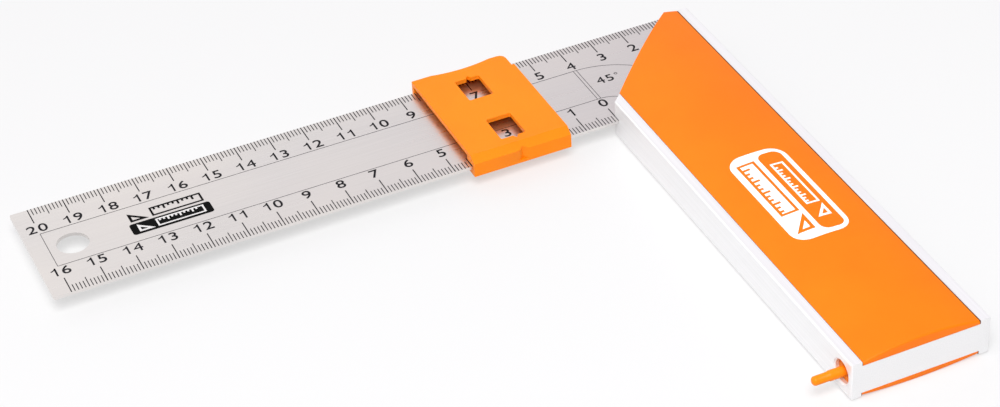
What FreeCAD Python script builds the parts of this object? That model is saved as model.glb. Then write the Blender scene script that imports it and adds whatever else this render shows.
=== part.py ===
import FreeCAD, Part
import os
import sys

import Sketcher

# Combination square: an aluminium stock with moulded covers on both sides, a graduated steel blade
# let into its far end, a slide gauge that runs along the blade and a scriber kept in the stock.
#
# Every body is drawn in one design frame, then moved as it is by its Placement:
#   X = 0 is the stock's outer face, and the blade runs towards -X, so X is minus the outer scale;
#   Y = 0 is the blade's centreline, and the stock runs towards -Y;
#   Z = 0 is the blade's mid-plane, which is also the stock's.
# The placed origin is the middle of the whole square, on the surface that it lies on.

DIMENSIONS = (
    # alias, millimetres, what it is
    ("blade_length", 205.0, "blade, from the stock's outer face to its free end"),
    ("blade_width", 40.0, "blade, edge to edge"),
    ("blade_thickness", 1.0, "blade"),
    ("blade_corner", 0.5, "radius of the blade's free corners"),
    ("hang_radius", 4.5, "hanging hole in the blade"),
    ("hang_inset", 11.7, "hanging hole's centre from the blade's free end"),
    ("stock_width", 40.0, "stock, inner face to outer face"),
    ("stock_height", 11.0, "stock, lip to lip"),
    ("stock_reach", 146.0, "blade's centreline to the stock's near end"),
    ("tip_reach", 15.0, "blade's centreline to the stock's tip"),
    ("tip_land", 7.5, "square land at the tip, beside the 45 degree face"),
    ("lip_width", 3.0, "aluminium lip along each side of a cover"),
    ("recess_depth", 1.15, "cover's recess below the lips"),
    ("stock_chamfer", 0.3, "broken edges of the stock"),
    ("nose_radius", 1.0, "rounded corner between the inner face and the 45 degree face"),
    ("slot_play", 0.05, "blade's slot, each side of the blade"),
    ("cover_gap", 0.2, "cover's side to the lip"),
    ("cover_edge", 1.0, "cover's thickness at its sides"),
    ("cover_stand", 1.9, "upper cover's crown above the lips"),
    ("under_stand", 0.75, "lower cover's flatter crown below the lips"),
    ("peg_radius", 2.0, "cover's moulded pegs"),
    ("peg_length", 2.8, "pegs, below the cover"),
    ("peg_play", 0.1, "peg holes, larger than the pegs all round and at the bottom"),
    ("peg_column", 11.0, "peg columns, each side of the stock's middle"),
    ("peg_first", 42.0, "blade's centreline to the first row of pegs"),
    ("peg_pitch", 42.0, "between rows of pegs"),
    ("rivet_radius", 1.6, "rivet's shank"),
    ("rivet_sink", 1.2, "depth and widening of the rivet's countersunk head"),
    ("rivet_play", 0.05, "rivet in its hole"),
    ("rivet_near_row", -12.0, "two rivets across the blade near its inner edge"),
    ("rivet_far_row", 3.0, "one rivet near the blade's centreline"),
    ("rivet_outer", 12.0, "outer rivets from the outer face"),
    ("rivet_inner", 28.0, "inner rivet from the outer face"),
    ("gauge_start", 85.0, "slide gauge's free end, from the stock's outer face"),
    ("gauge_length", 29.5, "slide gauge along the blade"),
    ("gauge_width", 43.0, "slide gauge across the blade"),
    ("gauge_top", 3.65, "slide gauge's top above the blade's mid-plane"),
    ("gauge_bottom", 2.2, "slide gauge's underside below the blade's mid-plane"),
    ("gauge_plate", 1.3, "slide gauge's top plate"),
    ("gauge_shoulder", 1.6, "height of the bevel between top and near side"),
    ("gauge_bevel", 2.4, "width of the same bevel"),
    ("gauge_ledge", 3.5, "ledge over the blade's top along its near edge"),
    ("gauge_ledge_lift", 0.4, "ledge above the blade"),
    ("gauge_hook", 4.0, "hook under each edge of the blade"),
    ("gauge_side_play", 0.2, "blade's edge to the slide gauge"),
    ("gauge_face_play", 0.15, "blade's faces to the slide gauge"),
    ("gauge_step", 0.8, "step back in the end at the stock's side, beyond the far window"),
    ("gauge_step_place", 15.5, "where the step is, from the blade's centreline"),
    ("gauge_corner", 2.0, "rounded far corner at the stock's side"),
    ("dish_depth", 1.0, "finger dish in the top's far edge"),
    ("dish_reach", 9.0, "half the length of the finger dish"),
    ("dish_drop", 1.0, "finger dish, down from the top"),
    ("window_centre", 70.6, "reading windows' middle, from the stock's outer face"),
    ("window_length", 7.4, "reading windows along the blade"),
    ("window_width", 10.3, "reading windows across the blade"),
    ("window_corner", 0.5, "reading windows' corners"),
    ("far_window", 10.1, "far window's middle, from the blade's centreline"),
    ("near_window", 11.05, "near window's middle, from the blade's centreline"),
    ("index_place", 70.0, "index notches, dish and pencil groove, from the stock's outer face"),
    ("index_half", 0.8, "half the width of an index notch at a window's edge"),
    ("index_depth", 1.2, "index notch"),
    ("groove_half", 1.5, "half the width of the pencil groove in the near side"),
    ("groove_depth", 0.9, "pencil groove"),
    ("groove_drop", 5.0, "pencil groove, down from the top"),
    ("scriber_reach", 141.0, "blade's centreline to the scriber's axis"),
    ("bore_radius", 3.25, "scriber's bore in the stock"),
    ("bore_depth", 28.0, "scriber's bore, from the inner face"),
    ("bore_chamfer", 0.4, "broken edge of the bore's mouth"),
    ("bush_inset", 1.4, "bush's end below the inner face"),
    ("bush_length", 12.0, "friction bush"),
    ("bush_play", 0.03, "bush in the bore"),
    ("bush_bore", 1.55, "bush's own bore, radius"),
    ("stem_proud", 8.3, "scriber's stem outside the inner face"),
    ("stem_step", 3.5, "stem's step outside the inner face"),
    ("stem_radius", 1.4, "stem in the bush"),
    ("grip_radius", 1.25, "stem's thinner outer end"),
    ("grip_round", 0.7, "rounded end of the stem"),
    ("stem_inside", 12.0, "stem inside the inner face"),
    ("needle_radius", 0.8, "steel needle"),
    ("needle_socket", 8.0, "needle's length inside the stem"),
    ("needle_play", 0.03, "needle in its socket"),
    ("needle_point", 4.0, "needle's ground point"),
    ("needle_tip", 0.15, "radius of the needle's very tip"),
    ("needle_reach", 26.0, "needle's tip inside the inner face"),
)

doc = FreeCAD.newDocument("combination_square")
dims = doc.addObject("Spreadsheet::Sheet", "Dims")


def fill_sheet():
    """One row for each driving dimension: its number, with an alias, and what it is."""
    for row, (alias, length, meaning) in enumerate(DIMENSIONS, start=1):
        dims.set(f"A{row}", alias)
        dims.set(f"B{row}", str(length))
        dims.setAlias(f"B{row}", alias)
        dims.set(f"C{row}", meaning)
    doc.recompute()


def formula(words):
    """An expression on the sheet, from one on its bare aliases."""
    aliases = {row[0] for row in DIMENSIONS}
    return " ".join(f"Dims.{word}" if word in aliases else word for word in words.split())


def number(words):
    """What a formula gives now."""
    return float(dims.evalExpression(formula(words)))


# Formulas are written with spaces round every sign, so that each alias stands alone.
STOCK_HALF = "stock_height / 2"
WEB_HALF = "( stock_height / 2 - recess_depth )"
UNDERSIDE = "( stock_height / 2 + under_stand )"
MITRE_FOOT = "tip_reach - stock_width + tip_land"
GAUGE_HALF = "gauge_width / 2"
OVERRUN = "5"


def new_body(label, x="0", y="0"):
    """An empty body, placed so that the design frame lands on the common origin."""
    body = doc.addObject("PartDesign::Body", label)
    body.Label = label
    middle = f"( {GAUGE_HALF} - stock_reach ) / 2"
    body.setExpression(".Placement.Base.x", formula(f"blade_length / 2 + {x}"))
    body.setExpression(".Placement.Base.y", formula(f"{y} - {middle}"))
    body.setExpression(".Placement.Base.z", formula(UNDERSIDE))
    return body


def new_sketch(body, name, role, lift="0"):
    """An empty sketch on one of the body's origin planes, lifted along the plane's normal."""
    sketch = body.newObject("Sketcher::SketchObject", f"{body.Name}_{name}")
    plane = next(item for item in body.Origin.OriginFeatures if item.Role == role)
    sketch.AttachmentSupport = [(plane, "")]
    sketch.MapMode = "FlatFace"
    sketch.setExpression(".AttachmentOffset.Base.z", formula(lift))
    return sketch


def fix(sketch, kind, edge, point, words):
    """Holds one end or centre of an edge at a formula, along the sketch's x or y."""
    index = sketch.addConstraint(Sketcher.Constraint(kind, edge, point, number(words)))
    sketch.setExpression(f"Constraints[{index}]", formula(words))


def add_loop(sketch, corners):
    """A closed loop of straight edges; each corner is a pair of formulas."""
    first = len(sketch.Geometry)
    places = [FreeCAD.Vector(number(x), number(y), 0) for x, y in corners]
    for index, place in enumerate(places):
        sketch.addGeometry(Part.LineSegment(place, places[(index + 1) % len(places)]), False)
    for index, (x, y) in enumerate(corners):
        edge = first + index
        before = first + (index - 1) % len(corners)
        sketch.addConstraint(Sketcher.Constraint("Coincident", before, 2, edge, 1))
        fix(sketch, "DistanceX", edge, 1, x)
        fix(sketch, "DistanceY", edge, 1, y)


def add_circle(sketch, x, y, radius):
    """A circle whose centre and radius are formulas."""
    centre = FreeCAD.Vector(number(x), number(y), 0)
    up = FreeCAD.Vector(0, 0, 1)
    edge = sketch.addGeometry(Part.Circle(centre, up, number(radius)), False)
    fix(sketch, "DistanceX", edge, 3, x)
    fix(sketch, "DistanceY", edge, 3, y)
    index = sketch.addConstraint(Sketcher.Constraint("Radius", edge, number(radius)))
    sketch.setExpression(f"Constraints[{index}]", formula(radius))


def rectangle(x_low, x_high, y_low, y_high):
    """The four corners of a rectangle between formulas."""
    return [(x_low, y_low), (x_high, y_low), (x_high, y_high), (x_low, y_high)]


def extrude(body, kind, sketch, length, symmetric=False, reverse=False):
    """A Pad or a Pocket of a sketch, checked to have changed the body's volume the right way."""
    doc.recompute()
    before = body.Shape.Volume if body.Tip else 0.0
    feature = body.newObject(f"PartDesign::{kind}", f"{sketch.Name}_{kind.lower()}")
    feature.Profile = sketch
    feature.SideType = "Symmetric" if symmetric else "One side"
    feature.Reversed = reverse
    feature.setExpression("Length", formula(length))
    doc.recompute()
    check_change(feature, body.Shape.Volume - before, kind == "Pad")
    return feature


def check_change(feature, change, grows):
    """Stops if a feature that should add took away, or did nothing, or the other way round."""
    if change == 0 or (change > 0) != grows:
        sys.exit(f"{feature.Name} changed its body by {change:.2f} cubic millimetres")


def spin(body, sketch, axis):
    """A full turn of a sketch about one of its own axes."""
    feature = body.newObject("PartDesign::Revolution", f"{sketch.Name}_turned")
    feature.Profile = sketch
    feature.ReferenceAxis = (sketch, [axis])
    feature.Angle = 360.0
    doc.recompute()
    return feature


def mirror(body, features, role):
    """The same features again, on the other side of one of the body's origin planes."""
    before = body.Shape.Volume
    copy = body.newObject("PartDesign::Mirrored", f"{body.Name}_mirrored")
    copy.Originals = features
    plane = next(item for item in body.Origin.OriginFeatures if item.Role == role)
    copy.MirrorPlane = (plane, [""])
    body.Tip = copy
    doc.recompute()
    check_change(copy, body.Shape.Volume - before, False)
    return copy


def dress(body, kind, name, size, wanted):
    """A Fillet or Chamfer on every edge of the body's tip that the test picks."""
    doc.recompute()
    base = body.Tip
    edges = base.Shape.Edges
    names = [f"Edge{index + 1}" for index, edge in enumerate(edges) if wanted(edge)]
    if not names:
        sys.exit(f"{body.Name}: no edge for {name}")
    feature = body.newObject(f"PartDesign::{kind}", f"{body.Name}_{name}")
    feature.Base = (base, names)
    feature.setExpression("Radius" if kind == "Fillet" else "Size", formula(size))
    body.Tip = feature
    doc.recompute()
    return feature


def along(edge, axis):
    """Whether a straight edge lies along 0, 1 or 2: X, Y or Z."""
    if not isinstance(edge.Curve, Part.Line):
        return False
    return abs(abs(edge.tangentAt(edge.FirstParameter)[axis]) - 1.0) < 1e-6


def near(value, words):
    """Whether a length is what a formula gives."""
    return abs(value - number(words)) < 1e-4


def rim(edge, axis, place, radius):
    """Whether an edge is the circle of a radius that lies at a place along an axis."""
    if not isinstance(edge.Curve, Part.Circle):
        return False
    return near(edge.Curve.Center[axis], place) and near(edge.Curve.Radius, radius)


def rivet_places():
    """The three rivets' centres."""
    return (
        ("- rivet_outer", "rivet_near_row"),
        ("- rivet_inner", "rivet_near_row"),
        ("- rivet_outer", "rivet_far_row"),
    )


def peg_places():
    """The centres of a cover's pegs: three rows of two."""
    for row in range(3):
        for side in ("-", "+"):
            x = f"- stock_width / 2 {side} peg_column"
            yield x, f"- peg_first - {row} * peg_pitch"


def mitre_corner():
    """The triangle that a cover or the stock loses beyond its 45 degree face."""
    return [
        ("- tip_land", "tip_reach"),
        (f"- stock_width - {OVERRUN}", f"{MITRE_FOOT} - {OVERRUN}"),
        (f"- stock_width - {OVERRUN}", "tip_reach"),
    ]


def make_stock():
    """H-section bar: solid web between two pairs of lips, slotted for the blade, bored for the scriber."""
    body = new_body("stock_body")
    plan = new_sketch(body, "plan", "XY_Plane")
    add_loop(plan, [
        ("0", "- stock_reach"),
        ("0", "tip_reach"),
        ("- tip_land", "tip_reach"),
        ("- stock_width", MITRE_FOOT),
        ("- stock_width", "- stock_reach"),
    ])
    extrude(body, "Pad", plan, "stock_height", symmetric=True)
    dress(body, "Fillet", "nose", "nose_radius", lambda edge: along(edge, 2)
          and near(edge.CenterOfMass.x, "- stock_width") and near(edge.CenterOfMass.y, MITRE_FOOT))
    dress(body, "Chamfer", "edges", "stock_chamfer", lambda edge: along(edge, 1)
          and near(abs(edge.CenterOfMass.z), STOCK_HALF))

    recess = new_sketch(body, "recess", "XY_Plane", STOCK_HALF)
    add_loop(recess, rectangle("lip_width - stock_width", "- lip_width",
                               f"- stock_reach - {OVERRUN}", f"tip_reach + {OVERRUN}"))
    recess_cut = extrude(body, "Pocket", recess, "recess_depth")
    pegs = new_sketch(body, "peg_holes", "XY_Plane", WEB_HALF)
    for x, y in peg_places():
        add_circle(pegs, x, y, "peg_radius + peg_play")
    peg_cut = extrude(body, "Pocket", pegs, "peg_length + peg_play")
    mirror(body, [recess_cut, peg_cut], "XY_Plane")

    slot = new_sketch(body, "slot", "XY_Plane")
    add_loop(slot, rectangle(f"- stock_width - {OVERRUN}", OVERRUN,
                             "- blade_width / 2 - slot_play", f"tip_reach + {OVERRUN}"))
    extrude(body, "Pocket", slot, "blade_thickness + 2 * slot_play", symmetric=True)

    rivets = new_sketch(body, "rivet_holes", "XY_Plane")
    for x, y in rivet_places():
        add_circle(rivets, x, y, "rivet_radius + rivet_play")
    extrude(body, "Pocket", rivets, "stock_height", symmetric=True)
    dress(body, "Chamfer", "countersinks", "rivet_sink", lambda edge:
          rim(edge, 2, WEB_HALF, "rivet_radius + rivet_play")
          or rim(edge, 2, f"- {WEB_HALF}", "rivet_radius + rivet_play"))

    bore = new_sketch(body, "scriber_bore", "YZ_Plane", "- stock_width")
    add_circle(bore, "- scriber_reach", "0", "bore_radius")
    extrude(body, "Pocket", bore, "bore_depth", reverse=True)
    dress(body, "Chamfer", "bore_mouth", "bore_chamfer", lambda edge:
          rim(edge, 0, "- stock_width", "bore_radius"))
    return body


def make_blade():
    """Flat steel rule with a hanging hole at its free end and three rivet holes in the stock."""
    body = new_body("blade")
    plan = new_sketch(body, "plan", "XY_Plane")
    add_loop(plan, rectangle("- blade_length", "0", "- blade_width / 2", "blade_width / 2"))
    extrude(body, "Pad", plan, "blade_thickness", symmetric=True)
    dress(body, "Fillet", "corners", "blade_corner", lambda edge: along(edge, 2)
          and near(edge.CenterOfMass.x, "- blade_length"))
    holes = new_sketch(body, "holes", "XY_Plane")
    add_circle(holes, "hang_inset - blade_length", "0", "hang_radius")
    for x, y in rivet_places():
        add_circle(holes, x, y, "rivet_radius + rivet_play")
    extrude(body, "Pocket", holes, "2 * blade_thickness", symmetric=True)
    return body


def make_cover(label, side):
    """Crowned plastic cover: a shallow arc over the stock's recess, with pegs into the web."""
    body = new_body(label)
    section = new_sketch(body, "section", "XZ_Plane", "stock_reach")
    stand = "cover_stand" if side > 0 else "under_stand"
    left = "lip_width + cover_gap - stock_width"
    right = "- lip_width - cover_gap"
    floor = f"{side} * {WEB_HALF}"
    edge_top = f"{side} * ( {WEB_HALF} + cover_edge )"
    corners = [(left, edge_top), (left, floor), (right, floor), (right, edge_top)]
    places = [FreeCAD.Vector(number(x), number(y), 0) for x, y in corners]
    crown = f"{side} * ( stock_height / 2 + {stand} )"
    middle = FreeCAD.Vector(number("- stock_width / 2"), number(crown), 0)
    for index in range(3):
        section.addGeometry(Part.LineSegment(places[index], places[index + 1]), False)
    section.addGeometry(Part.Arc(places[3], middle, places[0]), False)
    for index in range(3):
        fix(section, "DistanceX", index, 1, corners[index][0])
        fix(section, "DistanceY", index, 1, corners[index][1])
    fix(section, "DistanceX", 2, 2, corners[3][0])
    fix(section, "DistanceY", 2, 2, corners[3][1])
    section.addConstraint(Sketcher.Constraint("Coincident", 0, 2, 1, 1))
    section.addConstraint(Sketcher.Constraint("Coincident", 1, 2, 2, 1))
    arc_start, arc_end = (1, 2) if side > 0 else (2, 1)
    section.addConstraint(Sketcher.Constraint("Coincident", 2, 2, 3, arc_start))
    section.addConstraint(Sketcher.Constraint("Coincident", 0, 1, 3, arc_end))
    rise = f"( recess_depth + {stand} - cover_edge )"
    half = "( stock_width / 2 - lip_width - cover_gap )"
    radius = f"( {half} * {half} + {rise} * {rise} ) / ( 2 * {rise} )"
    index = section.addConstraint(Sketcher.Constraint("Radius", 3, number(radius)))
    section.setExpression(f"Constraints[{index}]", formula(radius))
    extrude(body, "Pad", section, "stock_reach + tip_reach", reverse=True)

    mitre = new_sketch(body, "mitre", "XY_Plane")
    add_loop(mitre, mitre_corner())
    extrude(body, "Pocket", mitre, "4 * stock_height", symmetric=True)

    pegs = new_sketch(body, "pegs", "XY_Plane", floor)
    for x, y in peg_places():
        add_circle(pegs, x, y, "peg_radius")
    extrude(body, "Pad", pegs, "peg_length", reverse=side > 0)
    return body


def gauge_section():
    """The slide gauge's section across the blade: a plate and two sides, with hooks under the blade.

    The far side is upright. The near side has a bevel above and a ledge over the blade.
    """
    side_in = "( blade_width / 2 + gauge_side_play )"
    face = "( blade_thickness / 2 + gauge_face_play )"
    roof = "gauge_top - gauge_plate"
    ledge = f"gauge_ledge - {side_in}"
    ledge_face = "blade_thickness / 2 + gauge_ledge_lift"
    hook = f"( {side_in} - gauge_hook )"
    return [
        (GAUGE_HALF, "- gauge_bottom"),
        (GAUGE_HALF, "gauge_top"),
        (f"gauge_bevel - {GAUGE_HALF}", "gauge_top"),
        (f"- {GAUGE_HALF}", "gauge_top - gauge_shoulder"),
        (f"- {GAUGE_HALF}", "- gauge_bottom"),
        (f"- {hook}", "- gauge_bottom"),
        (f"- {hook}", f"- {face}"),
        (f"- {side_in}", f"- {face}"),
        (f"- {side_in}", ledge_face),
        (ledge, ledge_face),
        (ledge, roof),
        (side_in, roof),
        (side_in, f"- {face}"),
        (hook, f"- {face}"),
        (hook, "- gauge_bottom"),
    ]


def window(middle, notch_side):
    """A reading window with an index notch in the edge nearer the blade's own edge."""
    low_x = "- window_centre - window_length / 2"
    high_x = "- window_centre + window_length / 2"
    low_y = f"{middle} - window_width / 2"
    high_y = f"{middle} + window_width / 2"
    if notch_side > 0:
        edge, tip = high_y, f"{high_y} + index_depth"
    else:
        edge, tip = low_y, f"{low_y} - index_depth"
    notch = [
        ("index_half - index_place", edge),
        ("- index_place", tip),
        ("- index_half - index_place", edge),
    ]
    if notch_side > 0:
        return [(low_x, low_y), (high_x, low_y), (high_x, high_y), *notch, (low_x, high_y)]
    return [(low_x, low_y), *reversed(notch), (high_x, low_y), (high_x, high_y), (low_x, high_y)]


def far_corner():
    """The plan of what the slide gauge loses at its far corner: a step, then a round of three facets."""
    end = "gauge_length - gauge_start"
    back = f"{end} - gauge_step"
    return [
        (f"{end} + 1", "gauge_step_place"),
        (back, "gauge_step_place"),
        (back, f"{GAUGE_HALF} - gauge_corner"),
        (f"{back} - 0.134 * gauge_corner", f"{GAUGE_HALF} - gauge_corner / 2"),
        (f"{back} - gauge_corner / 2", f"{GAUGE_HALF} - 0.134 * gauge_corner"),
        (f"{back} - gauge_corner", GAUGE_HALF),
        (f"{back} - gauge_corner", f"{GAUGE_HALF} + 1"),
        (f"{end} + 1", f"{GAUGE_HALF} + 1"),
    ]


def make_gauge():
    """Moulded slide gauge that wraps the blade, with two windows, index notches and a finger dish."""
    body = new_body("slide_gauge")
    section = new_sketch(body, "section", "YZ_Plane", "- gauge_start")
    add_loop(section, gauge_section())
    extrude(body, "Pad", section, "gauge_length")
    corner = new_sketch(body, "corner", "XY_Plane")
    add_loop(corner, far_corner())
    extrude(body, "Pocket", corner, "4 * gauge_top", symmetric=True)

    windows = new_sketch(body, "windows", "XY_Plane", "gauge_top")
    add_loop(windows, window("far_window", 1))
    add_loop(windows, window("- near_window", -1))
    extrude(body, "Pocket", windows, "gauge_plate + 0.1")
    dress(body, "Fillet", "window_corners", "window_corner", lambda edge: along(edge, 2)
          and near(abs(edge.CenterOfMass.x + number("window_centre")), "window_length / 2"))

    dish = new_sketch(body, "dish", "XY_Plane", "gauge_top")
    dish_radius = "( dish_reach * dish_reach + dish_depth * dish_depth ) / ( 2 * dish_depth )"
    add_circle(dish, "- index_place", f"{GAUGE_HALF} - dish_depth + {dish_radius}", dish_radius)
    extrude(body, "Pocket", dish, "dish_drop")

    groove = new_sketch(body, "groove", "XY_Plane", "gauge_top")
    add_loop(groove, [
        ("- index_place - groove_half", f"- {GAUGE_HALF}"),
        ("- index_place", f"groove_depth - {GAUGE_HALF}"),
        ("groove_half - index_place", f"- {GAUGE_HALF}"),
        ("groove_half - index_place", f"- {GAUGE_HALF} - 1"),
        ("- index_place - groove_half", f"- {GAUGE_HALF} - 1"),
    ])
    extrude(body, "Pocket", groove, "groove_drop")
    return body


def make_rivet(index, place):
    """Rivet with a countersunk head at each end, through the web and the blade."""
    body = new_body(f"blade_rivet_{index}", *place)
    section = new_sketch(body, "section", "XZ_Plane")
    head = "rivet_radius + rivet_sink"
    length = f"( {WEB_HALF} - rivet_play )"
    neck = f"( {WEB_HALF} - rivet_play - rivet_sink )"
    add_loop(section, [
        ("0", f"- {length}"),
        (head, f"- {length}"),
        ("rivet_radius", f"- {neck}"),
        ("rivet_radius", neck),
        (head, length),
        ("0", length),
    ])
    spin(body, section, "V_Axis")
    return body


def make_bush():
    """Plastic friction bush that holds the scriber's stem in the stock's bore."""
    body = new_body("scriber_bush")
    ring = new_sketch(body, "ring", "YZ_Plane", "bush_inset - stock_width")
    add_circle(ring, "- scriber_reach", "0", "bore_radius - bush_play")
    add_circle(ring, "- scriber_reach", "0", "bush_bore")
    extrude(body, "Pad", ring, "bush_length")
    return body


def make_stem():
    """Scriber's plastic stem: thin outer grip, thicker inside, with a socket for the needle."""
    body = new_body("scriber_stem")
    section = new_sketch(body, "section", "XZ_Plane", "scriber_reach")
    outer_end = "- stock_width - stem_proud"
    inner_end = "stem_inside - stock_width"
    socket = "needle_radius + needle_play"
    add_loop(section, [
        (outer_end, "0"),
        (outer_end, "grip_radius - grip_round"),
        (f"{outer_end} + grip_round", "grip_radius"),
        ("- stock_width - stem_step", "grip_radius"),
        ("- stock_width - stem_step", "stem_radius"),
        (inner_end, "stem_radius"),
        (inner_end, socket),
        (f"{inner_end} - needle_socket", socket),
        (f"{inner_end} - needle_socket", "0"),
    ])
    spin(body, section, "H_Axis")
    return body


def make_needle():
    """Hardened steel needle, ground to a point."""
    body = new_body("scriber_needle")
    section = new_sketch(body, "section", "XZ_Plane", "scriber_reach")
    back = "stem_inside - stock_width - needle_socket + needle_play"
    tip = "needle_reach - stock_width"
    add_loop(section, [
        (back, "0"),
        (back, "needle_radius"),
        (f"{tip} - needle_point", "needle_radius"),
        (tip, "needle_tip"),
        (tip, "0"),
    ])
    spin(body, section, "H_Axis")
    return body


def check_objects():
    """Stops if any object failed to compute."""
    for item in doc.Objects:
        if "Invalid" in item.State or "Error" in item.State:
            sys.exit(f"{item.Name} is {item.State}")


def write_parts(bodies):
    """One STEP file for each body, named after its Label, once every shape has been checked."""
    os.makedirs("parts", exist_ok=True)
    for body in bodies:
        shape = body.Shape
        if shape.isNull() or not shape.isValid() or len(shape.Solids) != 1:
            sys.exit(f"{body.Label} isn't one valid solid")
    for body in bodies:
        body.Shape.exportStep(os.path.join("parts", f"{body.Label}.step"))
        print(f"{body.Label}: {body.Shape.Volume:.1f} cubic millimetres")


fill_sheet()
parts = [
    make_stock(),
    make_blade(),
    make_cover("top_cover", 1),
    make_cover("bottom_cover", -1),
    make_gauge(),
    make_bush(),
    make_stem(),
    make_needle(),
]
parts += [make_rivet(index, place) for index, place in enumerate(rivet_places(), start=1)]
doc.recompute()
check_objects()
write_parts(parts)
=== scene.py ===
import math

import bmesh
import bpy
from mathutils import Matrix, Quaternion, Vector


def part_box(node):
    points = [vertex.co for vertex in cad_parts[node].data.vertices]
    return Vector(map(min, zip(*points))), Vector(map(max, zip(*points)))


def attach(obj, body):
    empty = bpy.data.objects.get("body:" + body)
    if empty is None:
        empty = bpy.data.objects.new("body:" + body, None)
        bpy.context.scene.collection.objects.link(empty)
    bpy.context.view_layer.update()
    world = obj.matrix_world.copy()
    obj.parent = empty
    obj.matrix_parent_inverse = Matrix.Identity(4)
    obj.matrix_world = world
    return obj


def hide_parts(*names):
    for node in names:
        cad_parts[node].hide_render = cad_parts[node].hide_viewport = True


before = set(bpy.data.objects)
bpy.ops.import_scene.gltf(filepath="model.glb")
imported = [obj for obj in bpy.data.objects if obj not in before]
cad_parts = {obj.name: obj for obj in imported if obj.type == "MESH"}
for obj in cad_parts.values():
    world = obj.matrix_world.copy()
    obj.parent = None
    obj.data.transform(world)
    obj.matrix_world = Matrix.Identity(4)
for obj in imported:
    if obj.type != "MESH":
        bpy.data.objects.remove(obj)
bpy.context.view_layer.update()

# Combination square. Places are written as on the tool's own drawing, in millimetres: x from the
# stock's outer face (minus the outer scale), y from the blade's centreline, z from its mid-plane.
MM = 0.001
BLADE_LOW, BLADE_HIGH = (Vector(corner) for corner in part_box("blade"))
ZERO = Vector((BLADE_HIGH.x, (BLADE_LOW.y + BLADE_HIGH.y) / 2, (BLADE_LOW.z + BLADE_HIGH.z) / 2))
BLADE_TOP = (BLADE_HIGH.z - ZERO.z) / MM
BLADE_EDGE = (BLADE_HIGH.y - ZERO.y) / MM

# The stock: its width, half its web, a cover's thickness at its sides, the gap beside a cover, and
# where along the inner face the 45 degree face begins.
STOCK_WIDTH = 40.0
WEB_HALF = 4.35
COVER_EDGE = 1.0
SEAM = 0.2
MITRE_FOOT = -17.5

# The blade's print: the film's thickness, the scales' lengths, and the figures' size and places.
INK = 0.02
OUTER_SCALE = 200
INNER_SCALE = 160
CENTIMETRE = 10
FIGURE_BREADTH = 1.12
FIGURE_HEIGHT = 3.55
FIGURE_PITCH = 3.2
OUTER_FIGURES = 10.6
INNER_FIGURES = -10.15

# Mesh work: the angle of a hard edge, the steps in a rounding, and how near is the same place.
HARD_EDGE = math.radians(32)
ROUND_STEPS = 4
SAME_PLACE = 0.001 * MM


def at(x, y, z=0.0):
    """A place on the drawing, in metres in the frame."""
    return ZERO + Vector((x, y, z)) * MM


def drawn_box(node):
    """A CAD node's lowest and highest corners, on the drawing."""
    return [(Vector(corner) - ZERO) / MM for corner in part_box(node)]


# ---------------------------------------------------------------- shader maths

class Wire:
    """One output socket, with arithmetic."""

    def __init__(self, nodes, socket):
        self.nodes = nodes
        self.socket = socket

    def _math(self, operation, first, second):
        return self.nodes.node("ShaderNodeMath", {"operation": operation}, [first, second])

    def __add__(self, other):
        return self._math("ADD", self, other)

    def __mul__(self, other):
        return self._math("MULTIPLY", self, other)

    __radd__ = __add__
    __rmul__ = __mul__


class Nodes:
    """A node tree in the making, its shader, and the coordinates that its patterns read."""

    def __init__(self, owner, shader, coordinates, **constants):
        owner.use_nodes = True
        self.owner = owner
        self.tree = owner.node_tree
        self.shader = self.tree.nodes[shader]
        for words, constant in constants.items():
            self.shader.inputs[words.replace("_", " ")].default_value = constant
        self.place = self.node("ShaderNodeTexCoord", output=coordinates)

    def node(self, kind, settings=None, values=(), output=0):
        """A node with its settings, then its sockets' values or wires, by order or by name."""
        made = self.tree.nodes.new(kind)
        for word, setting in (settings or {}).items():
            if word == "stops":
                set_stops(made.color_ramp, setting)
            else:
                setattr(made, word, setting)
        pairs = values.items() if isinstance(values, dict) else enumerate(values)
        for key, value in pairs:
            if isinstance(value, Wire):
                self.tree.links.new(value.socket, made.inputs[key])
            else:
                made.inputs[key].default_value = value
        return Wire(self, made.outputs[output])

    def noise(self, scale, stretch=(1, 1, 1), detail=3.0):
        """Noise from 0 to 1, finer where stretch is larger, in cells for each millimetre."""
        place = self.node("ShaderNodeMapping", None, {"Vector": self.place, "Scale": stretch})
        values = {"Vector": place, "Scale": scale / MM, "Detail": detail}
        return self.node("ShaderNodeTexNoise", None, values)

    def carry(self, value, low, high, new_low=0.0, new_high=1.0):
        """A value carried from one range to another, and held inside it."""
        return self.node("ShaderNodeMapRange", None, [value, low, high, new_low, new_high])

    def mix(self, amount, first, second):
        """A colour between two."""
        values = {0: amount, 6: first, 7: second}
        return self.node("ShaderNodeMix", {"data_type": "RGBA"}, values, output=2)

    def feed(self, socket, wire):
        """Feeds one of the shader's sockets."""
        self.tree.links.new(wire.socket, self.shader.inputs[socket])

    def bump(self, height, depth):
        """Raises the surface by height times depth, in millimetres."""
        values = {"Height": height, "Distance": depth * MM, "Strength": 1.0}
        self.feed("Normal", self.node("ShaderNodeBump", None, values))


def set_stops(ramp, stops):
    """Gives a colour ramp its stops, from the lowest up, with soft steps between them."""
    ramp.interpolation = "EASE"
    while len(ramp.elements) < len(stops):
        ramp.elements.new(1.0)
    for element, (position, tone) in zip(ramp.elements, stops):
        element.position = position
        element.color = tone


# ---------------------------------------------------------------- finishes

def new_finish(name, **constants):
    """A new material's nodes, with constants for its shader's sockets."""
    return Nodes(bpy.data.materials.new(name), "Principled BSDF", "Object", **constants)


def tinted(tone, red, green, blue):
    """A colour with each of its channels made weaker."""
    return [tone[0] * red, tone[1] * green, tone[2] * blue, 1.0]


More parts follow.
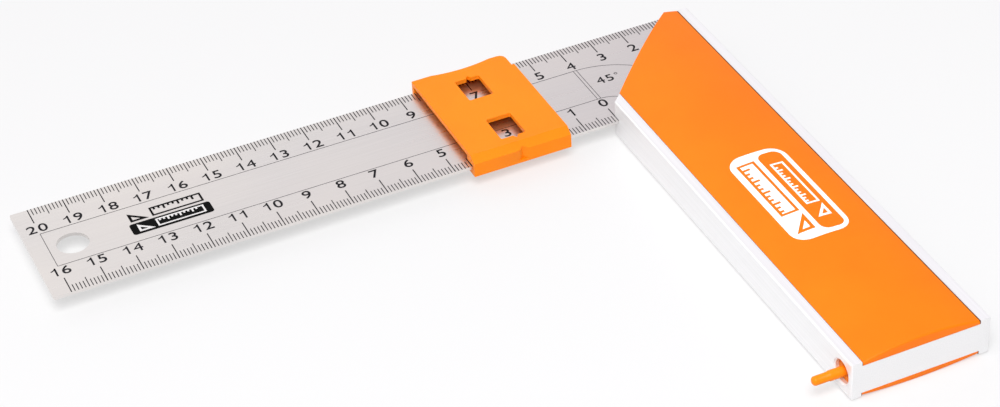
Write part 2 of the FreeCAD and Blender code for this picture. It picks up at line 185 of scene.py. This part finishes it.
def brushed_steel(name, tone):
    """Stainless sheet, brushed along its length, with faint rolling clouds and hairline marks."""
    steel = new_finish(name, Metallic=1.0, Roughness=0.3)
    grain = steel.noise(6.0, stretch=(0.01, 1.0, 1.0), detail=4.0)
    hairs = steel.noise(1.6, stretch=(0.006, 1.0, 1.0), detail=2.0)
    clouds = steel.noise(0.03, stretch=(0.6, 1.0, 1.0), detail=2.0)
    dark_tone = tinted(tone, 0.84, 0.84, 0.84)
    warm_tone = tinted(tone, 1.0, 0.985, 0.965)
    brushed = steel.mix(steel.carry(grain * 0.6 + hairs * 0.4, 0.3, 0.7), dark_tone, tone)
    steel.feed("Base Color", steel.mix(steel.carry(clouds, 0.3, 0.7), brushed, warm_tone))
    steel.feed("Roughness", steel.carry(hairs + clouds * 0.3, 0.4, 0.9, 0.26, 0.4))
    steel.bump(grain, depth=0.004)
    return steel.owner


def satin_aluminium(name, tone):
    """Anodised extrusion: fine drawing lines along the stock over an even satin."""
    anodised = new_finish(name, Metallic=0.45, Roughness=0.4)
    lines = anodised.noise(3.0, stretch=(1.0, 0.008, 1.0))
    satin = anodised.noise(9.0, detail=2.0)
    dark_tone = tinted(tone, 0.93, 0.93, 0.93)
    anodised.feed("Base Color", anodised.mix(anodised.carry(lines, 0.3, 0.7), dark_tone, tone))
    anodised.feed("Roughness", anodised.carry(lines, 0.3, 0.7, 0.36, 0.48))
    anodised.bump(lines * 0.7 + satin * 0.3, depth=0.003)
    return anodised.owner


def orange_plastic(name, tone, roughness):
    """Smooth coloured moulding: a fine eggshell, faint flow clouds and a soft gloss."""
    plastic = new_finish(name, Specular_IOR_Level=0.16, IOR=1.5, Subsurface_Weight=0.06,
                         Subsurface_Radius=(1.0, 0.35, 0.1), Subsurface_Scale=1.2 * MM)
    clouds = plastic.noise(0.05)
    eggshell = plastic.noise(2.2)
    deep_tone = tinted(tone, 0.985, 0.93, 0.9)
    smooth, rough = roughness - 0.04, roughness + 0.06
    plastic.feed("Base Color", plastic.mix(plastic.carry(clouds, 0.35, 0.65), deep_tone, tone))
    plastic.feed("Roughness", plastic.carry(eggshell, 0.3, 0.7, smooth, rough))
    plastic.bump(eggshell, depth=0.004)
    return plastic.owner


def printed_ink(name, tone, roughness, gloss=0.3):
    """A printed or etched colour, or a painted shade, with a slightly uneven film."""
    ink = new_finish(name, Specular_IOR_Level=gloss)
    film = ink.noise(1.5)
    pale_tone = [min(1.0, channel * 1.12 + 0.002) for channel in tone[:3]] + [1.0]
    smooth, rough = roughness - 0.05, roughness + 0.05
    ink.feed("Base Color", ink.mix(ink.carry(film, 0.35, 0.65), tone, pale_tone))
    ink.feed("Roughness", ink.carry(film, 0.3, 0.7, smooth, rough))
    return ink.owner


STEEL = brushed_steel("blade_steel", (0.80, 0.775, 0.765, 1.0))
NEEDLE_STEEL = brushed_steel("needle_steel", (0.62, 0.62, 0.63, 1.0))
ALUMINIUM = satin_aluminium("stock_aluminium", (0.87, 0.87, 0.875, 1.0))
COVER_ORANGE = orange_plastic("cover_orange", (0.88, 0.19, 0.003, 1.0), 0.42)
GAUGE_ORANGE = orange_plastic("gauge_orange", (0.90, 0.235, 0.003, 1.0), 0.38)
# Painted shade: a dark brown for the strips that stand in the gaps beside the covers, where the
# real square only has shadow.
PAINTED_SEAM_SHADE = printed_ink("painted_seam_shade", (0.09, 0.032, 0.012, 1.0), 0.7, 0.05)
SCALE_INK = printed_ink("scale_ink", (0.008, 0.008, 0.010, 1.0), 0.6, 0.1)
LINE_INK = printed_ink("line_ink", (0.03, 0.028, 0.034, 1.0), 0.6, 0.1)
MARK_BLACK = printed_ink("mark_black", (0.003, 0.003, 0.003, 1.0), 0.7, 0.04)
MARK_PALE = printed_ink("mark_pale", (0.62, 0.61, 0.60, 1.0), 0.5)
LABEL_WHITE = printed_ink("label_white", (0.90, 0.89, 0.87, 1.0), 0.4)
LABEL_ORANGE = printed_ink("label_orange", (0.87, 0.165, 0.003, 1.0), 0.5, 0.1)


# ---------------------------------------------------------------- mesh steps

def everything(bm):
    """All of a mesh in the making."""
    return bm.verts[:] + bm.edges[:] + bm.faces[:]


def new_object(name, data):
    """An object in the scene."""
    made = bpy.data.objects.new(name, data)
    bpy.context.scene.collection.objects.link(made)
    return made


def mesh_object(name, bm, material):
    """An object of a finished mesh, in one material."""
    mesh = bpy.data.meshes.new(name)
    bm.to_mesh(mesh)
    bm.free()
    mesh.materials.append(material)
    return new_object(name, mesh)


def finish_piece(name, bm, material, slot, body, *nodes):
    """A piece shaded smooth between its hard edges, riding on its body."""
    for face in bm.faces:
        face.smooth = True
    for edge in bm.edges:
        edge.smooth = edge.calc_face_angle(0.0) < HARD_EDGE
    piece = mesh_object(name, bm, material)
    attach(piece, body)
    if nodes:
        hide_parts(*nodes)
    return piece


def round_edges(piece, width, segments=3):
    """Small rounded edges all over a piece."""
    bevel = piece.modifiers.new("edges", "BEVEL")
    bevel.width = width * MM
    bevel.segments = segments
    bevel.limit_method = "ANGLE"
    bevel.angle_limit = HARD_EDGE
    bevel.harden_normals = True


def copy_node(node):
    """A CAD node's mesh with its flat faces whole again."""
    bm = bmesh.new()
    bm.from_mesh(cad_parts[node].data)
    bmesh.ops.remove_doubles(bm, verts=bm.verts, dist=0.002 * MM)
    bmesh.ops.dissolve_limit(bm, angle_limit=math.radians(0.4), verts=bm.verts, edges=bm.edges)
    return bm


def bevel_edges(bm, edges, width):
    """Rounds some of a mesh's edges."""
    bmesh.ops.bevel(bm, geom=edges, affect="EDGES", offset=width * MM, segments=ROUND_STEPS,
                    profile=0.5, material=-1)


def extrude_all(bm):
    """Extrudes a sheet where it stands, and gives the new vertices."""
    sheet = bmesh.ops.extrude_face_region(bm, geom=bm.faces[:])
    return [item for item in sheet["geom"] if isinstance(item, bmesh.types.BMVert)]


def add_block(bm, centre, size):
    """A block round a place, with its size in millimetres."""
    length, width, height = Vector(size) * MM
    bmesh.ops.create_cube(bm, size=1.0, matrix=Matrix.Translation(centre)
                          @ Matrix.Diagonal((length, width, height, 1)))


def thicken(bm, lift):
    """Makes a flat figure a thin film by raising a copy of it, in metres."""
    bmesh.ops.remove_doubles(bm, verts=bm.verts, dist=SAME_PLACE)
    bmesh.ops.translate(bm, vec=(0, 0, lift), verts=extrude_all(bm))
    bmesh.ops.recalc_face_normals(bm, faces=bm.faces)


def join(bm, other):
    """Adds one mesh in the making to another."""
    mesh = bpy.data.meshes.new("joined")
    other.to_mesh(mesh)
    other.free()
    bm.from_mesh(mesh)
    bpy.data.meshes.remove(mesh)


# ---------------------------------------------------------------- pieces

def make_stock():
    """The aluminium stock, with the upright edges of its square end eased along its sides."""
    inner_ease, outer_ease, nearness = 1.2, 0.7, 0.02
    bm = copy_node("stock_body")
    low, high = drawn_box("stock_body")
    for x, ease in ((low.x, inner_ease), (high.x, outer_ease)):
        corner = at(x, low.y)
        upright = [edge for edge in bm.edges
                   if all((vert.co - corner).xy.length < nearness * MM for vert in edge.verts)]
        bevel_edges(bm, upright, ease)
    stock = finish_piece("stock", bm, ALUMINIUM, "stock_aluminium", "square", "stock_body")
    round_edges(stock, 0.12, segments=2)


def crown_height(node, x):
    """How far a cover's crown stands from the blade's mid-plane, at x on the drawing."""
    low, high = drawn_box(node)
    half = (high.x - low.x) / 2
    peak = max(abs(low.z), abs(high.z))
    rise = peak - WEB_HALF - COVER_EDGE
    radius = (half * half + rise * rise) / (2 * rise)
    across = x - (low.x + high.x) / 2
    return peak - radius + math.sqrt(radius * radius - across * across)


def make_cover(node, side):
    """A crowned cover: a sheet bent to the crown, cut at 45 degrees and closed below.

    The upper edge of its end is rounded, and a dark brown strip stands in the gap along each side
    as painted shade in the seam.
    """
    strips, end_round, edge_round = 32, 0.6, 0.15
    low, high = drawn_box(node)
    bm = bmesh.new()
    bmesh.ops.create_grid(bm, x_segments=strips, y_segments=1, size=0.5)
    for vert in bm.verts:
        x = low.x + (vert.co.x + 0.5) * (high.x - low.x)
        y = low.y + (vert.co.y + 0.5) * (high.y - low.y)
        vert.co = at(x, y, side * crown_height(node, x))
    bmesh.ops.bisect_plane(bm, geom=everything(bm), plane_co=at(-STOCK_WIDTH, MITRE_FOOT),
                           plane_no=(-1, 1, 0), clear_outer=True)
    floor = ZERO.z + side * WEB_HALF * MM
    for vert in extrude_all(bm):
        vert.co.z = floor
    bmesh.ops.recalc_face_normals(bm, faces=bm.faces)
    end = at(0, low.y + 0.01).y
    crown_end = [edge for edge in bm.edges
                 if all(vert.co.y < end and abs(vert.co.z - floor) > 0.5 * MM
                        for vert in edge.verts)]
    bevel_edges(bm, crown_end, end_round)
    cover = finish_piece(f"{node}_moulding", bm, COVER_ORANGE, "cover_plastic", "square", node)
    round_edges(cover, edge_round)

    # Painted shade: thin dark brown strips fill the gaps beside the cover, where there is only
    # shadow.
    shade_strip_height, near_gap, inner_gap, outer_gap = 1.0, 0.2, 0.4, 0.1
    inner_end = MITRE_FOOT + low.x + STOCK_WIDTH - inner_gap
    outer_end = high.y - outer_gap
    bm = bmesh.new()
    for x, far in ((low.x - SEAM / 2, inner_end), (high.x + SEAM / 2, outer_end)):
        centre = at(x, (low.y + far) / 2, side * (WEB_HALF + shade_strip_height / 2))
        add_block(bm, centre, (SEAM, far - low.y - near_gap, shade_strip_height))
    finish_piece(f"{node}_painted_seam_shades", bm, PAINTED_SEAM_SHADE, "cover_plastic", "square")


def make_gauge():
    """The slide gauge, every edge soft from the mould."""
    gauge = finish_piece("gauge_moulding", copy_node("slide_gauge"), GAUGE_ORANGE,
                         "gauge_plastic", "gauge", "slide_gauge")
    round_edges(gauge, 0.22)


def turned(profile, centre):
    """A solid turned about a line along X, from its profile of (x, radius) on the drawing."""
    bm = bmesh.new()
    verts = [bm.verts.new(centre + Vector((x, 0, radius)) * MM) for x, radius in profile]
    edges = [bm.edges.new(pair) for pair in zip(verts, verts[1:])]
    bmesh.ops.spin(bm, geom=verts + edges, cent=centre, axis=(1, 0, 0), dvec=(0, 0, 0),
                   angle=math.tau, steps=40, use_merge=True)
    bmesh.ops.remove_doubles(bm, verts=bm.verts, dist=SAME_PLACE)
    bmesh.ops.recalc_face_normals(bm, faces=bm.faces)
    return bm


def make_scriber():
    """The scriber's stem with its rounded tip, and the steel needle in its end."""
    low, high = drawn_box("scriber_stem")
    axis = at(0, (low.y + high.y) / 2, (low.z + high.z) / 2)
    tip_flatness, step_depth, step_place = 0.7, 0.15, -STOCK_WIDTH - 3.5
    step_slope, step_round = 0.2, 0.03
    thick = (high.y - low.y) / 2
    thin = thick - step_depth
    turns = [math.radians(15 * step) for step in range(7)]
    stem = [(low.x + thin * (1 - math.cos(turn)) * tip_flatness, thin * math.sin(turn))
            for turn in turns]
    stem += [(step_place - step_slope, thin), (step_place, thick - step_round),
             (step_place + step_slope, thick), (high.x, thick), (high.x, 0.0)]
    finish_piece("scriber_stem_moulding", turned(stem, axis), GAUGE_ORANGE, "gauge_plastic",
                 "scriber", "scriber_stem")

    low, high = drawn_box("scriber_needle")
    taper, shoulder, point, point_radius = 4.0, 3.6, 0.1, 0.12
    thick = (high.y - low.y) / 2
    needle = [(low.x, 0.0), (low.x, thick), (high.x - taper, thick),
              (high.x - shoulder, thick * 0.93), (high.x - point, point_radius), (high.x, 0.0)]
    finish_piece("scriber_point", turned(needle, axis), NEEDLE_STEEL, "needle_steel", "scriber",
                 "scriber_needle")


# ---------------------------------------------------------------- graduations

def add_bar(bm, x_low, x_high, y_low, y_high):
    """A thin printed bar on the blade."""
    centre = at((x_low + x_high) / 2, (y_low + y_high) / 2, BLADE_TOP + INK / 2)
    add_block(bm, centre, (x_high - x_low, y_high - y_low, INK))


def add_ticks(bm, count, start, edge, inward):
    """A millimetre scale along one edge: longer every 5 mm, longest every centimetre."""
    short, middling, long = 3.0, 4.3, 6.6
    fine, bold = 0.25, 0.3
    for step in range(1 if start == 0 else 0, count + 1):
        length, width = short, fine
        if step % 5 == 0:
            length = middling
        if step % CENTIMETRE == 0:
            length, width = long, bold
        x = start - step
        y_low, y_high = sorted((edge, edge + inward * length))
        add_bar(bm, x - width / 2, x + width / 2, y_low, y_high)


def figure_outline(figure):
    """A flat figure 1 high, centred on the origin. The 1 is drawn here, without a foot."""
    bm = bmesh.new()
    if figure == "1":
        corners = [(0.04, -0.5), (0.17, -0.5), (0.17, 0.5), (0.08, 0.5), (0.0, 0.36),
                   (-0.12, 0.27), (-0.22, 0.24), (-0.22, 0.13), (-0.09, 0.17), (0.04, 0.25)]
        bm.faces.new([bm.verts.new((x, y, 0)) for x, y in corners])
        return bm
    curve = bpy.data.curves.new("figure", "FONT")
    curve.body = figure
    curve.resolution_u = 5
    # A little bolder than the plain typeface, except the 4, whose small triangle would close.
    curve.offset = 0.0 if figure == "4" else 0.01
    text = bpy.data.objects.new("figure", curve)
    mesh = bpy.data.meshes.new_from_object(text)
    bm.from_mesh(mesh)
    bpy.data.objects.remove(text)
    bpy.data.curves.remove(curve)
    bpy.data.meshes.remove(mesh)
    low, high = (Vector(pick(vert.co[axis] for vert in bm.verts) for axis in range(3))
                 for pick in (min, max))
    bmesh.ops.translate(bm, vec=-(low + high) / 2, verts=bm.verts)
    bmesh.ops.scale(bm, vec=(1 / (high.y - low.y),) * 3, verts=bm.verts)
    return bm


def add_figures(bm, words, x, y, height=FIGURE_HEIGHT, pitch=FIGURE_PITCH):
    """Figures in a row on the blade, centred on a place, each the same step from the last."""
    size = Matrix.Diagonal((FIGURE_BREADTH * height * MM, height * MM, MM, 1))
    for index, figure in enumerate(words):
        flat = figure_outline(figure)
        across = x + (index - (len(words) - 1) / 2) * pitch
        bmesh.ops.transform(flat, verts=flat.verts,
                            matrix=Matrix.Translation(at(across, y, BLADE_TOP)) @ size)
        thicken(flat, INK * MM)
        join(bm, flat)


def add_swept_line(bm, centre, ends, axis, angle, whole=False):
    """A printed line on the blade: a short edge beside a centre, spun round it."""
    line = bmesh.new()
    verts = [line.verts.new(centre + Vector(end) * MM) for end in ends]
    edge = line.edges.new(verts)
    bmesh.ops.spin(line, geom=verts + [edge], cent=centre, axis=axis, dvec=(0, 0, 0),
                   angle=angle, steps=24, use_merge=whole)
    thicken(line, INK * MM)
    join(bm, line)


def add_arc(bm, radius, width):
    """A line round the corner of the angle, from square to the blade to the 45 degree face."""
    corner = at(-STOCK_WIDTH, MITRE_FOOT, BLADE_TOP)
    ends = [(0, radius + side * width / 2, 0) for side in (-1, 1)]
    add_swept_line(bm, corner, ends, (0, 0, -1), math.radians(44.9))


def add_ring(bm, centre, outer, inner):
    """A small printed ring."""
    ends = [(radius, 0, 0) for radius in (inner, outer)]
    add_swept_line(bm, centre, ends, (0, 0, 1), math.tau, whole=True)


def make_scales():
    """Both graduated edges with their figures, and the 45 degree mark."""
    bm = bmesh.new()
    add_ticks(bm, OUTER_SCALE, 0, BLADE_EDGE, -1)
    add_ticks(bm, INNER_SCALE, -STOCK_WIDTH, -BLADE_EDGE, 1)
    finish_piece("scale_ticks", bm, SCALE_INK, "scale_ink", "square")

    bm = bmesh.new()
    for figure in range(2, OUTER_SCALE // CENTIMETRE + 1):
        add_figures(bm, str(figure), -CENTIMETRE * figure, OUTER_FIGURES)
    for figure in range(0, INNER_SCALE // CENTIMETRE + 1):
        add_figures(bm, str(figure), -STOCK_WIDTH - CENTIMETRE * figure, INNER_FIGURES)
    add_figures(bm, "45", -34.2, 0.2, height=3.2, pitch=2.9)
    add_ring(bm, at(-30.3, 1.3, BLADE_TOP), outer=0.5, inner=0.32)
    finish_piece("scale_figures", bm, SCALE_INK, "scale_ink", "square")

    bm = bmesh.new()
    upper, lower, thin, pair_half = 8.0, -7.8, 0.08, 0.5
    add_bar(bm, -OUTER_SCALE, -STOCK_WIDTH, upper - thin, upper + thin)
    add_bar(bm, -OUTER_SCALE, -STOCK_WIDTH, lower - thin, lower + thin)
    for x in (-OUTER_SCALE, -STOCK_WIDTH - pair_half, -STOCK_WIDTH + pair_half):
        add_bar(bm, x - thin, x + thin, lower, upper)
    add_arc(bm, upper - MITRE_FOOT, 2 * thin)
    add_arc(bm, lower - MITRE_FOOT, 2 * thin)
    finish_piece("scale_lines", bm, LINE_INK, "scale_ink", "square")


# ---------------------------------------------------------------- labels

def rounded_plate(length, width, corner):
    """A flat rectangle with rounded corners, centred on the origin, in millimetres."""
    bm = bmesh.new()
    bmesh.ops.create_grid(bm, x_segments=1, y_segments=1, size=0.5)
    bmesh.ops.scale(bm, vec=(length, width, 1), verts=bm.verts)
    bmesh.ops.bevel(bm, geom=bm.verts[:], affect="VERTICES", offset=corner, segments=8,
                    profile=0.5, material=-1)
    return bm


def outline(bm, width):
    """Leaves only a border of a flat shape, in millimetres."""
    border = bmesh.ops.inset_region(bm, faces=bm.faces[:], thickness=width, use_boundary=True,
                                    use_even_offset=True)["faces"]
    inside = [face for face in bm.faces if face not in border]
    bmesh.ops.delete(bm, geom=inside, context="FACES")


def flat_shape(*outlines):
    """Flat faces from their corners, in millimetres."""
    bm = bmesh.new()
    for corners in outlines:
        bm.faces.new([bm.verts.new((x, y, 0)) for x, y in corners])
    bm.normal_update()
    return bm


def box_corners(x_low, x_high, y_low, y_high):
    """The corners of a rectangle."""
    return [(x_low, y_low), (x_high, y_low), (x_high, y_high), (x_low, y_high)]


def tool_sign(length, height, x=0.0, y=0.0):
    """A plain sign of a set square beside a rule, from the left end of its space at x, y."""
    foot, gap, line = height * 1.3, height * 0.25, height * 0.15
    pitch, short, long = height * 0.34, height * 0.34, height * 0.52
    top = height / 2
    sign = bmesh.new()
    triangle = flat_shape([(0, -top), (foot, -top), (0, top)])
    outline(triangle, height * 0.19)
    join(sign, triangle)
    left = foot + gap
    rule = flat_shape(box_corners(left, length, -top, top))
    outline(rule, line)
    join(sign, rule)
    marks = []
    for step in range(1, int((length - left) / pitch)):
        middle = left + step * pitch
        depth = long if step % 3 == 0 else short
        marks.append(box_corners(middle - line / 2, middle + line / 2, top - depth, top - line))
    join(sign, flat_shape(*marks))
    bmesh.ops.translate(sign, vec=(x, y, 0), verts=sign.verts)
    return sign


def print_on_cover(name, bm, material, lift, film=0.03):
    """Turns a flat print along the upper cover, bends it to the crown and gives it thickness."""
    middle, turn, longest = (-19.8, -79.4), math.radians(90), 1.5
    bmesh.ops.rotate(bm, verts=bm.verts, cent=(0, 0, 0), matrix=Matrix.Rotation(turn, 3, "Z"))
    x_low = min(vert.co.x for vert in bm.verts)
    x_high = max(vert.co.x for vert in bm.verts)
    for step in range(1, math.ceil((x_high - x_low) / longest)):
        bmesh.ops.bisect_plane(bm, geom=everything(bm), plane_co=(x_low + step * longest, 0, 0),
                               plane_no=(1, 0, 0))
    bmesh.ops.recalc_face_normals(bm, faces=bm.faces)
    for vert in bm.verts:
        x, y = middle[0] + vert.co.x, middle[1] + vert.co.y
        vert.co = at(x, y, crown_height("top_cover", x) + lift)
    thicken(bm, film * MM)
    finish_piece(name, bm, material, "label_ink", "square")


def make_label():
    """A white label on the upper cover: an orange sign above an orange panel with a white one."""
    panel_line, sign_line = -3.6, 4.0
    print_on_cover("cover_label", rounded_plate(40.0, 17.0, 4.6), LABEL_WHITE, 0.0, film=0.04)
    panel = rounded_plate(36.6, 7.0, 2.4)
    bmesh.ops.translate(panel, vec=(0, panel_line, 0), verts=panel.verts)
    print_on_cover("cover_label_panel", panel, LABEL_ORANGE, 0.035)
    print_on_cover("cover_label_rule", tool_sign(26.0, 4.0, -13.0, panel_line), LABEL_WHITE, 0.06)
    print_on_cover("cover_label_sign", tool_sign(33.0, 5.4, -16.5, sign_line), LABEL_ORANGE, 0.035)


def print_on_blade(name, bm, material, place, lift=0.0):
    """Lays a flat print, drawn in millimetres, on the blade."""
    bmesh.ops.scale(bm, vec=(MM, MM, MM), verts=bm.verts)
    bmesh.ops.translate(bm, vec=at(*place, BLADE_TOP + lift), verts=bm.verts)
    thicken(bm, INK * MM)
    finish_piece(name, bm, material, "scale_ink", "square")


def make_blade_mark():
    """A black plate with a pale rule on it, under a plain sign of a set square and a rule."""
    print_on_blade("blade_mark_plate", rounded_plate(23.0, 5.0, 0.8), MARK_BLACK, (-166.1, -2.4))
    print_on_blade("blade_mark_rule", tool_sign(19.0, 3.4), MARK_PALE, (-175.6, -2.3), lift=INK)
    print_on_blade("blade_mark_sign", tool_sign(21.0, 4.0), MARK_BLACK, (-176.6, 3.0))


# ---------------------------------------------------------------- stage

def make_floor():
    """A wide pale paper floor under the square, faintly bright of itself."""
    paper = new_finish("floor_paper", Roughness=0.9, Specular_IOR_Level=0.1,
                       Emission_Strength=0.52, Base_Color=(0.32, 0.32, 0.32, 1.0),
                       Emission_Color=(1.0, 1.0, 1.0, 1.0))
    bm = bmesh.new()
    bmesh.ops.create_grid(bm, x_segments=1, y_segments=1, size=3.0)
    mesh_object("floor", bm, paper.owner)


def add_lamp(name, place, size, power):
    """A square soft lamp that faces the middle of the floor."""
    lamp = bpy.data.lights.new(name, "AREA")
    lamp.shape = "SQUARE"
    lamp.size = size
    lamp.energy = power
    holder = new_object(name, lamp)
    holder.location = place
    holder.rotation_mode = "QUATERNION"
    holder.rotation_quaternion = (-Vector(place)).to_track_quat("-Z", "Y")


def make_light():
    """A pale room, brightest behind the square and to its left, with one soft lamp in front."""
    room = Nodes(bpy.data.worlds.new("room"), "Background", "Generated", Strength=1.12)
    bright_side = (-0.55, 0.83, 0.0)
    along = room.node("ShaderNodeVectorMath", {"operation": "DOT_PRODUCT"},
                      [room.place, bright_side], output="Value")
    stops = [(0.35, (0.25, 0.25, 0.26, 1.0)),
             (0.64, (0.50, 0.45, 0.54, 1.0)),
             (0.71, (0.81, 0.785, 0.80, 1.0)),
             (0.78, (0.97, 0.96, 0.945, 1.0)),
             (1.00, (1.00, 1.00, 1.00, 1.0))]
    walls = room.node("ShaderNodeValToRGB", {"stops": stops}, [room.carry(along, -1.0, 1.0)])
    room.feed("Color", walls)
    bpy.context.scene.world = room.owner
    add_lamp("key", (-0.3, -0.7, 1.25), size=0.8, power=24.0)


def make_camera():
    """The camera: aimed at the middle of the square from the front left, a little tilted."""
    azimuth, elevation, roll = math.radians(22.80), math.radians(37.04), math.radians(-3.47)
    distance = 731.7
    aim = at(-85.4, -38.9, 0.5)
    forward = Vector((math.sin(azimuth) * math.cos(elevation),
                      math.cos(azimuth) * math.cos(elevation), -math.sin(elevation)))
    camera = bpy.data.cameras.new("camera")
    camera.lens = 97.94
    camera.sensor_width = 36.0
    camera.clip_start = 0.01
    camera.clip_end = 20.0
    holder = new_object("camera", camera)
    holder.location = aim - forward * distance * MM
    holder.rotation_mode = "QUATERNION"
    holder.rotation_quaternion = forward.to_track_quat("-Z", "Y") @ Quaternion((0, 0, 1), roll)
    bpy.context.scene.camera = holder


def paint_nodes(materials):
    """Better finishes for the CAD nodes that stay."""
    for node, material in materials.items():
        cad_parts[node].material_slots[0].material = material


make_camera()
make_light()
make_floor()
make_stock()
make_cover("top_cover", 1)
make_cover("bottom_cover", -1)
make_gauge()
make_scriber()
make_scales()
make_label()
make_blade_mark()
paint_nodes({
    "blade": STEEL,
    "scriber_bush": GAUGE_ORANGE,
    "blade_rivet_1": ALUMINIUM,
    "blade_rivet_2": ALUMINIUM,
    "blade_rivet_3": ALUMINIUM,
})
bpy.context.scene.view_settings.view_transform = "Standard"
